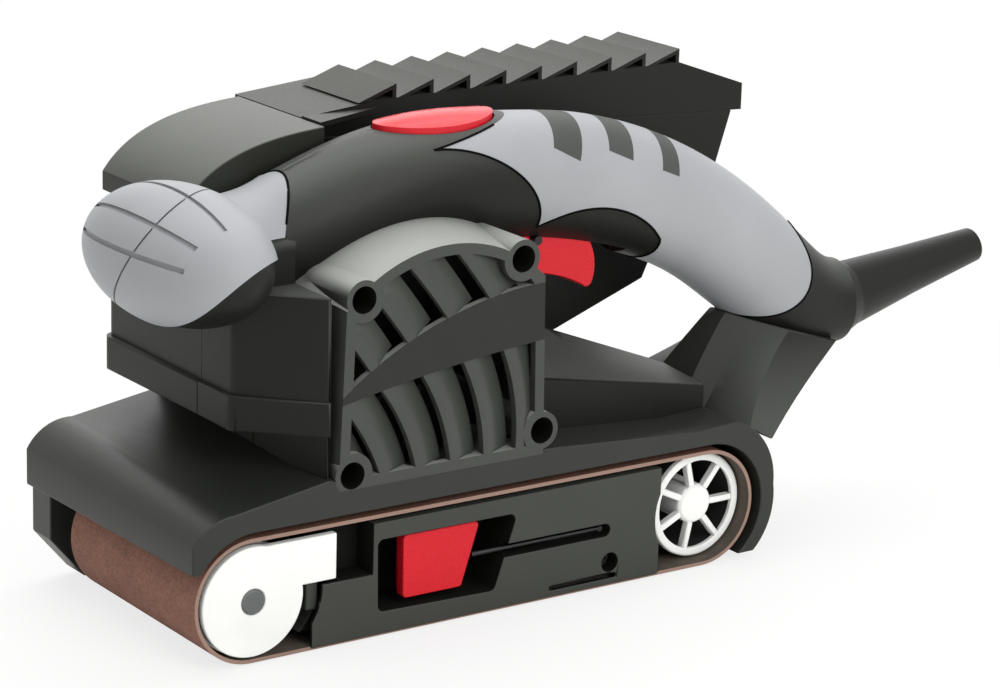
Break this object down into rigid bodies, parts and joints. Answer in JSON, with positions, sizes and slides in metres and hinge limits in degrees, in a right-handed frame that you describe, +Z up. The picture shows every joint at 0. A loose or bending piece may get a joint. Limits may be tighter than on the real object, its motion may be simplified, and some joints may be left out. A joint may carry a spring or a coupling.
{
  "type": "belt sander",
  "caption": "Hand belt sander with an open belt side, spoked drive roller, tension lever, vented motor cover, arched two-hand grip, trigger and pull-off dust box.",
  "frame": {"origin": "on the work surface under the middle of the abrasive belt, midway between the two rollers", "axes": "+X to the rear along the tool, -Y towards the open belt side, +Z up from the work"},
  "size_m": [0.3427, 0.1073, 0.156],
  "materials": {
    "charcoal_plastic": "moulded, fine grain",
    "cover_plastic": "moulded, fine grain",
    "guard_plastic": "moulded, fine grain",
    "frame_casting": "die casting, dark coat",
    "soft_grip": "overmoulded, satin",
    "grip_insert": "matt",
    "red_plastic": "moulded, satin gloss",
    "white_nylon": "moulded",
    "abrasive_cloth": "aluminium oxide grit on cloth",
    "cork": "pressed cork",
    "spring_steel": "rolled sheet",
    "bright_steel": "ground",
    "zinc_screw": "zinc plated",
    "wheel_rubber": "ribbed tread",
    "roller_aluminium": "turned",
    "bush_bronze": "sintered",
    "lamination": "stacked sheet",
    "copper_wire": "enamelled winding",
    "fan_plastic": "moulded",
    "carbon": "pressed carbon",
    "brush_brass": "folded sheet",
    "drive_rubber": "ribbed belt",
    "cable_rubber": "moulded",
    "dust_box_plastic": "moulded, fine grain",
    "filter_cloth": "felt"
  },
  "bodies": {
    "housing": {"housing_left": "charcoal_plastic", "housing_right": "charcoal_plastic", "housing_screws": "zinc_screw", "motor_cover": "cover_plastic", "cover_screws": "zinc_screw", "belt_guard": "guard_plastic", "belt_frame": "frame_casting", "frame_screw": "zinc_screw", "platen_plate": "spring_steel", "platen_pad": "cork", "sanding_belt": "abrasive_cloth", "handle_grip": "soft_grip", "grip_inserts": "grip_insert", "knob_grip": "soft_grip", "drive_cover": "guard_plastic", "drive_cover_screws": "zinc_screw", "drive_belt": "drive_rubber", "roller_bearings": "bright_steel", "motor_bearings": "bright_steel", "bearing_plate": "fan_plastic", "field_core": "lamination", "field_coils": "copper_wire", "brush_holders": "brush_brass", "carbon_brushes": "carbon", "switch_body": "fan_plastic", "trigger_pin": "bright_steel", "trigger_spring": "spring_steel", "button_spring": "spring_steel", "lever_pin": "bright_steel", "lever_spring": "spring_steel", "tension_spring": "spring_steel", "cable_sleeve": "cable_rubber", "dust_duct": "dust_box_plastic"},
    "drive_roller": {"drive_wheel": "white_nylon", "roller_tread": "wheel_rubber", "drive_shaft": "bright_steel", "driven_pulley": "fan_plastic"},
    "armature": {"motor_shaft": "bright_steel", "armature_core": "lamination", "armature_windings": "copper_wire", "commutator": "copper_wire", "cooling_fan": "fan_plastic", "motor_pulley": "bright_steel"},
    "tension_bracket": {"tension_yoke": "white_nylon", "tension_carrier": "frame_casting", "idler_axle": "bright_steel"},
    "idler": {"idler_roller": "roller_aluminium", "idler_bushes": "bush_bronze"},
    "lever": {"tension_lever": "red_plastic"},
    "trigger": {"trigger": "red_plastic"},
    "lock_button": {"lock_button": "red_plastic"},
    "dust_box": {"dust_box_body": "dust_box_plastic", "dust_box_lid": "dust_box_plastic", "dust_filter": "filter_cloth"}
  },
  "joints": [
    {"name": "armature_spin", "type": "hinge", "parent": "housing", "child": "armature", "pos_m": [-0.0177, 0, 0.083], "axis": [0, 1, 0], "continuous": true},
    {"name": "drive_roller_spin", "type": "hinge", "parent": "housing", "child": "drive_roller", "pos_m": [0.08472, 0, 0.0194], "axis": [0, 1, 0], "continuous": true},
    {"name": "tension_slide", "type": "slide", "parent": "housing", "child": "tension_bracket", "axis": [1, 0, 0], "range_m": [0, 0.006], "stiffness_N_per_m": 2000, "springref_m": -0.008, "deforming": ["tension_spring"]},
    {"name": "idler_spin", "type": "hinge", "parent": "tension_bracket", "child": "idler", "pos_m": [-0.08472, 0, 0.0194], "axis": [0, 1, 0], "continuous": true},
    {"name": "lever_swing", "type": "hinge", "parent": "housing", "child": "lever", "pos_m": [-0.0255, -0.029, 0.02], "axis": [0, 0, -1], "range_deg": [0, 75]},
    {"name": "trigger_squeeze", "type": "hinge", "parent": "housing", "child": "trigger", "pos_m": [0.035, 0, 0.108], "axis": [0, -1, 0], "range_deg": [0, 8], "stiffness_Nm_per_rad": 0.6, "springref_deg": -11.46, "deforming": ["trigger_spring"]},
    {"name": "button_press", "type": "slide", "parent": "housing", "child": "lock_button", "axis": [0, 0, -1], "range_m": [0, 0.003], "stiffness_N_per_m": 800, "springref_m": -0.003, "deforming": ["button_spring"]},
    {"name": "dust_box_pull", "type": "slide", "parent": "housing", "child": "dust_box", "axis": [1, 0, 0], "range_m": [0, 0.178]}
  ],
  "couplings": [
    {"joint": "drive_roller_spin", "follows": "armature_spin", "ratio": 0.4},
    {"joint": "idler_spin", "follows": "armature_spin", "ratio": 0.4},
    {"joint": "lever_swing", "follows": "tension_slide", "rad_per_m": 218}
  ]
}
